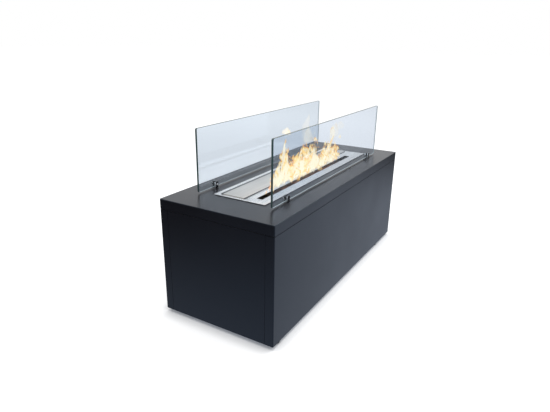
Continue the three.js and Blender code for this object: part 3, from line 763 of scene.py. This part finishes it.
def flame_material():
    material, tree, shader = new_material("flame")
    depth = node(tree, "ShaderNodeAttribute", attribute_name="depth").outputs["Fac"]
    rise = node(tree, "ShaderNodeAttribute", attribute_name="rise").outputs["Fac"]
    seed = node(tree, "ShaderNodeAttribute", attribute_name="seed").outputs["Fac"]
    veil = node(tree, "ShaderNodeAttribute", attribute_name="veil").outputs["Fac"]
    here = node(tree, "ShaderNodeTexCoord").outputs["Object"]
    shift = node(tree, "ShaderNodeCombineXYZ", {"X": seed, "Z": seed}).outputs["Vector"]
    moved = node(tree, "ShaderNodeVectorMath", {0: here, 1: shift}, operation="ADD").outputs["Vector"]
    tall = node(tree, "ShaderNodeMapping", {"Vector": moved, "Scale": LICK_SHAPE}).outputs["Vector"]
    licks = node(
        tree, "ShaderNodeTexNoise",
        {"Vector": tall, "Scale": 1.0, "Detail": 4.0, "Roughness": 0.6, "Distortion": 1.6},
    ).outputs["Fac"]
    swirls = node(
        tree, "ShaderNodeTexNoise",
        {"Vector": moved, "Scale": SWIRL_SCALE, "Detail": 3.0, "Roughness": 0.55, "Distortion": 2.2},
    ).outputs["Fac"]
    wide = node(tree, "ShaderNodeMapping", {"Vector": here, "Scale": HOLLOW_SHAPE}).outputs["Vector"]
    shared = node(
        tree, "ShaderNodeTexNoise",
        {"Vector": wide, "Scale": 1.0, "Detail": 3.0, "Roughness": 0.55, "Distortion": 1.8},
    ).outputs["Fac"]
    hollow = number(tree, "MULTIPLY", number(tree, "SUBTRACT", shared, 0.5), HOLLOW_CUT)
    torn = number(tree, "MULTIPLY", number(tree, "SUBTRACT", licks, 0.5), LICK_CUT)
    eaten = number(tree, "ADD", torn, hollow)
    body = number(tree, "ADD", number(tree, "MULTIPLY", depth, 1.3), eaten)
    cover = fade(tree, body, 0.10, 0.80)
    foot = fade(tree, number(tree, "ADD", rise, number(tree, "MULTIPLY", eaten, 0.10)), 0.17, 0.38)
    swirled = number(tree, "MULTIPLY", number(tree, "SUBTRACT", swirls, 0.5), SWIRL_HEAT)
    curl = number(tree, "ADD", swirled, number(tree, "MULTIPLY", hollow, HOLLOW_HEAT))
    warm = number(tree, "MULTIPLY", fade(tree, rise, 0.0, 0.4), number(tree, "MULTIPLY", depth, 0.9))
    heat = number(tree, "ADD", number(tree, "ADD", warm, 0.14), curl)
    ramp = node(tree, "ShaderNodeValToRGB", {"Fac": heat})
    stops = ramp.color_ramp.elements
    while len(stops) < len(FLAME_COLOURS):
        stops.new(1.0)
    for stop, (at, colour) in zip(stops, FLAME_COLOURS):
        stop.position = at
        stop.color = (*colour, 1)
    solid = number(tree, "MULTIPLY", number(tree, "MULTIPLY", cover, foot), veil)
    path = node(tree, "ShaderNodeLightPath").outputs
    turns = number(tree, "ADD", path["Glossy Depth"], path["Diffuse Depth"])
    seen = number(tree, "MULTIPLY", solid, number(tree, "LESS_THAN", turns, 0.5))
    feed(tree, shader, {
        "Base Color": (0, 0, 0, 1),
        "Roughness": 1.0,
        "Specular IOR Level": 0.0,
        "Emission Color": ramp.outputs["Color"],
        "Emission Strength": FLAME_STRENGTH,
        "Alpha": seen,
    })
    material.cycles.emission_sampling = "NONE"
    return material


FLAME = flame_material()


# %% Sheets of fire
# The outline of the fire: (place along the slot, height of the tips) in mm
FIRE_OUTLINE = [
    (FIRE_START, 6), (-267, 20), (-256, 34), (-244, 46), (-228, 66), (-206, 92), (-190, 110),
    (-176, 134), (-164, 146),
    (-152, 122), (-138, 92), (-121, 80), (-108, 90), (-96, 104), (-70, 110), (-40, 112),
    (-12, 116), (14, 118), (34, 106), (52, 88), (70, 70), (84, 66), (98, 76), (112, 92),
    (124, 108), (136, 88), (150, 74), (164, 84), (177, 78), (192, 62), (206, 38), (FIRE_END, 8),
]
# Curtains: (place across the slot in mm, share of the outline's height that they reach, lean)
CURTAINS = [(0, 1.0, 0.30), (3, 0.82, 0.44), (1, 0.62, 0.5)]
# Ribbons: (place along the slot, height, half width, lean) in mm
RIBBONS = [
    (-225, 58, 12, 26), (-205, 114, 14, 34), (-186, 140, 13, 22), (-150, 94, 15, 24),
    (-110, 100, 16, 22), (-70, 112, 18, 26), (-30, 118, 18, 26), (5, 124, 17, 14),
    (45, 88, 16, 20), (96, 98, 15, 18), (118, 116, 13, 6), (160, 88, 13, 12), (188, 56, 12, 6),
]
# Wisps that have left the fire: (place, height above the foot, length, half width, veil)
WISPS = [
    (-166, 158, 18, 12, 0.34), (-158, 154, 14, 8, 0.3), (-50, 112, 88, 14, 0.12),
    (-34, 112, 50, 13, 0.22), (6, 112, 30, 14, 0.25), (140, 92, 50, 12, 0.4),
    (162, 98, 50, 13, 0.22), (206, 118, 26, 18, 0.16), (208, 84, 14, 5, 0.5),
]
SLOT_BACK = 44 * MM  # from the deck's front edge
slot_back_y = deck_low.y + SLOT_BACK
FLAME_FOOT = deck_high.z - 9 * MM
DEPTH_UNIT = 40 * MM
DEPTH_LIMIT = 60 * MM
RISE_UNIT = 60 * MM
CURTAIN_VEIL = 0.74
RIBBON_VEIL = 0.78
WISP_CORE = 0.8
WISP_LEAN = 6 * MM


def outline_height(x):
    """How high the fire stands at a place along the slot, from the outline's points."""
    for (x0, h0), (x1, h1) in zip(FIRE_OUTLINE, FIRE_OUTLINE[1:]):
        if x0 <= x <= x1:
            return (h0 + (h1 - h0) * (x - x0) / (x1 - x0)) * MM
    return 0.0


def fire_layers(made):
    return {name: made.verts.layers.float.new(name) for name in ("depth", "rise", "seed", "veil")}


def fire_point(made, layers, place, **values):
    vertex = made.verts.new(place)
    for name, value in values.items():
        vertex[layers[name]] = value
    return vertex


def fire_faces(made, grid):
    for row, after in zip(grid, grid[1:]):
        for index in range(len(row) - 1):
            made.faces.new((row[index], after[index], after[index + 1], row[index + 1]))


def fire_curtain(made, layers, seed, across, share, lean, columns=120, rows=22):
    """A wavy sheet along the whole slot that rises to the outline."""
    start, end = FIRE_OUTLINE[0][0], FIRE_OUTLINE[-1][0]
    grid = []
    for column in range(columns + 1):
        x = start + (end - start) * column / columns
        flicker = 1 + 0.22 * noise.noise(Vector((seed, x / 16, 0)))
        height = outline_height(x) * share * flicker
        line = []
        for row in range(rows + 1):
            rise = row / rows
            billow = 0.22 * height * rise * noise.noise(Vector((x / 40, rise * 1.6, seed)))
            place = Vector((
                x * MM - lean * height * (1 - rise),
                slot_back_y + across * MM + billow,
                FLAME_FOOT + height * rise,
            ))
            depth = min(height * (1 - rise), DEPTH_LIMIT) / DEPTH_UNIT
            high = height * rise / RISE_UNIT
            values = {"depth": depth, "rise": high, "seed": seed, "veil": CURTAIN_VEIL}
            line.append(fire_point(made, layers, place, **values))
        grid.append(line)
    fire_faces(made, grid)


def fire_ribbon(made, layers, dice, foot, height, half_width, lean, veil=RIBBON_VEIL, core=0.0):
    """One tongue, from its foot to its tip. It turns as it rises and ends in a point. A
    core above 0 makes it as hot as the middle of the fire however thin it is."""
    rows, columns = 24, 6
    seed = dice.uniform(0, 40)
    facing = dice.uniform(-1.3, 1.3)
    twist = dice.uniform(-1.2, 1.2)
    grid = []
    for row in range(rows + 1):
        rise = row / rows
        sway = 0.15 * height * rise
        centre = foot + Vector((
            lean * rise ** 1.4 + sway * noise.noise(Vector((seed, rise * 2.6, 1.3))),
            sway * noise.noise(Vector((seed, rise * 2.6, 7.7))),
            height * rise,
        ))
        width = half_width * math.sin(math.pi * (0.22 + 0.78 * rise) ** 0.8)
        angle = facing + twist * rise
        along = Vector((math.cos(angle), math.sin(angle), 0))
        line = []
        for column in range(columns + 1):
            side = column / columns * 2 - 1
            depth = core + min(width * (1 - abs(side)) * 1.6, height * (1 - rise) * 0.6) / DEPTH_UNIT
            high = centre.z - FLAME_FOOT
            values = {"depth": depth, "rise": high / RISE_UNIT, "seed": seed, "veil": veil}
            line.append(fire_point(made, layers, centre + along * (width * side), **values))
        grid.append(line)
    fire_faces(made, grid)


def build_fire():
    made = bmesh.new()
    layers = fire_layers(made)
    dice = random.Random(11)
    for across, share, lean in CURTAINS:
        fire_curtain(made, layers, dice.uniform(0, 40), across, share, lean)
    for x, height, half_width, lean in RIBBONS:
        foot = Vector((x * MM, slot_back_y + dice.uniform(-1, 4) * MM, FLAME_FOOT))
        fire_ribbon(made, layers, dice, foot, height * MM, half_width * MM, lean * MM)
    for x, above, length, half_width, veil in WISPS:
        foot = Vector((x * MM, slot_back_y, FLAME_FOOT + above * MM))
        size = (length * MM, half_width * MM, WISP_LEAN)
        fire_ribbon(made, layers, dice, foot, *size, veil, WISP_CORE)
    fire = finish_piece(made, "flames", "burner", None, FLAME)
    fire.visible_glossy = False
    fire.visible_diffuse = False
    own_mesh(fire)


build_fire()


# %% [markdown]
# The set is plain: a pale floor that runs out of sight, a large soft lamp overhead, a
# second, weaker one from the right, and an even white room. The room and the floor look
# white to the camera and through the glass, while the light that falls on things stays at a
# plain level.
# In a studio only the paper near the object is lit, and black paint shows it: the box
# mirrors a bright floor by its foot and a dim one farther off. So the floor that reflections
# see fades with the distance from one lit spot.

# %% Floor
LIT_SPOT = (0.20, -0.65, 0.0)
LIT_REACH = (0.50, 2.10)
LIT_LEVELS = (0.74, 0.03)
LIT_COLOUR = (0.84, 0.93, 1.08, 1)
FLOOR_GLOW = 0.54
LAMP_POOL = (1.0, 3.6)
POOL_GLOW = 0.20
CONTACT_REACH = 40 * MM
CONTACT_DEPTH = 1.7
FLOOR_REACH = 30


def floor_material():
    material, tree, shader = new_material("pale_floor")
    grain = effect(tree, GRAIN, {"Scale": 300.0, "Patch": 3.0})
    path = node(tree, "ShaderNodeLightPath").outputs
    here = place_on_piece(tree)
    centre = node(tree, "ShaderNodeVectorMath", {0: here}, operation="LENGTH").outputs["Value"]
    through = fade(tree, centre, *LAMP_POOL, POOL_GLOW, FLOOR_GLOW)
    direct = number(tree, "MULTIPLY", path["Is Camera Ray"], FLOOR_GLOW)
    indirect = number(tree, "MULTIPLY", path["Is Transmission Ray"], through)
    seen = number(tree, "MAXIMUM", direct, indirect)
    feed(tree, shader, {
        "Base Color": mixed(tree, grain["Drift"], (0.80, 0.81, 0.83), (0.82, 0.83, 0.85)),
        "Roughness": 0.9,
        "Specular IOR Level": 0.0,
    })
    near = node(tree, "ShaderNodeAmbientOcclusion", {"Distance": CONTACT_REACH}, samples=8)
    shade = number(tree, "POWER", near.outputs["AO"], CONTACT_DEPTH)
    contact = number(tree, "MULTIPLY", shade, seen)
    glow = node(tree, "ShaderNodeEmission", {"Strength": contact})
    paper = node(tree, "ShaderNodeAddShader", {0: shader.outputs["BSDF"], 1: glow.outputs["Emission"]})
    away = node(tree, "ShaderNodeVectorMath", {0: here, 1: LIT_SPOT}, operation="DISTANCE")
    level = fade(tree, away.outputs["Value"], *LIT_REACH, *LIT_LEVELS)
    mirrored = node(tree, "ShaderNodeEmission", {"Color": LIT_COLOUR, "Strength": level})
    straight = number(tree, "SUBTRACT", 1.0, path["Is Transmission Ray"])
    both = node(tree, "ShaderNodeMixShader", {
        0: number(tree, "MULTIPLY", path["Is Glossy Ray"], straight),
        1: paper.outputs["Shader"],
        2: mirrored.outputs["Emission"],
    })
    output = tree.nodes["Material Output"]
    tree.links.new(both.outputs["Shader"], output.inputs["Surface"])
    return material


def build_floor():
    made = bmesh.new()
    corners = [(-1, -1), (1, -1), (1, 1), (-1, 1)]
    made.faces.new([made.verts.new((x * FLOOR_REACH, y * FLOOR_REACH, 0)) for x, y in corners])
    data = bpy.data.meshes.new("floor")
    made.to_mesh(data)
    made.free()
    floor = bpy.data.objects.new("floor", data)
    bpy.context.scene.collection.objects.link(floor)
    paint(floor, floor_material())


build_floor()


# %% Room and lamps
ROOM_LEVEL = 0.6


def build_room():
    world = bpy.data.worlds.new("white_room")
    bpy.context.scene.world = world
    world.use_nodes = True
    tree = world.node_tree
    path = node(tree, "ShaderNodeLightPath").outputs
    seen = number(tree, "MAXIMUM", path["Is Camera Ray"], path["Is Glossy Ray"])
    seen = number(tree, "MAXIMUM", seen, path["Is Transmission Ray"])
    level = fade(tree, seen, 0.0, 1.0, ROOM_LEVEL, 1.0)
    feed(tree, tree.nodes["Background"], {"Color": (1, 1, 1, 1), "Strength": level})


def soft_lamp(name, place, aim, size, power, colour):
    data = bpy.data.lights.new(name, "AREA")
    data.size = size
    data.energy = power
    data.color = colour
    lamp = bpy.data.objects.new(name, data)
    bpy.context.scene.collection.objects.link(lamp)
    lamp.location = place
    lamp.rotation_euler = (Vector(aim) - Vector(place)).to_track_quat("-Z", "Y").to_euler()


build_room()
soft_lamp("overhead", (0.1, -0.4, 2.6), (0, 0, 0.2), 2.0, 38, (1, 0.99, 0.97))
soft_lamp("right", (2.2, -1.6, 1.6), (0, 0, 0.2), 1.2, 14, (0.96, 0.98, 1))


# %% Colour and light settings
scene = bpy.context.scene
scene.view_settings.view_transform = "Standard"
scene.cycles.transparent_max_bounces = 32
